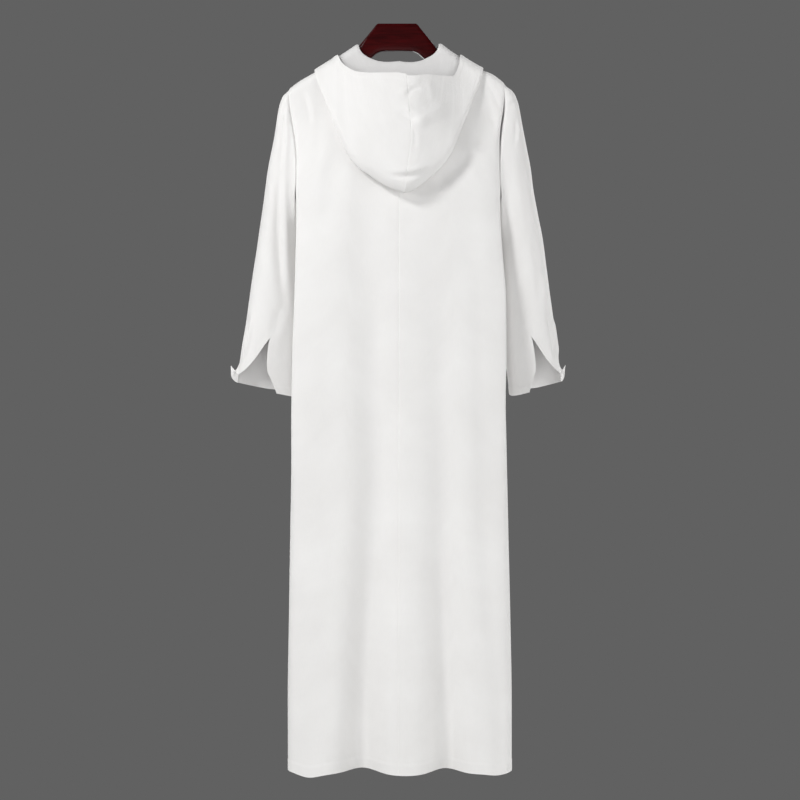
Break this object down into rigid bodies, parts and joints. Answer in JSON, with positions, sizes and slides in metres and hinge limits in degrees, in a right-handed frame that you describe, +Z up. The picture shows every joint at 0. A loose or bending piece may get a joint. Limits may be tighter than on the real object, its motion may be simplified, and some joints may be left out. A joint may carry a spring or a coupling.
{
  "type": "hooded thobe robe on a wooden hanger",
  "caption": "Long white hooded thobe robe with slit cuffs, hanging on a plain wooden hanger that holds it by the shoulders.",
  "frame": {"origin": "centre of the flat top of the hanger, where its hook screws in", "axes": "+Z up, +Y towards the front of the robe, +X to the right as seen from behind, which is the wearer's right"},
  "size_m": [0.6537, 0.206, 1.4375],
  "materials": {
    "robe_cloth": "thin plain-woven cloth, white, matt with a slight sheen",
    "hanger_wood": "dark red-brown lacquered wood"
  },
  "bodies": {
    "root": {"back_left": "robe_cloth", "back_right": "robe_cloth", "front": "robe_cloth", "sleeve_left": "robe_cloth", "sleeve_right": "robe_cloth", "hood_left": "robe_cloth", "hood_right": "robe_cloth", "hanger": "hanger_wood"}
  },
  "joints": []
}
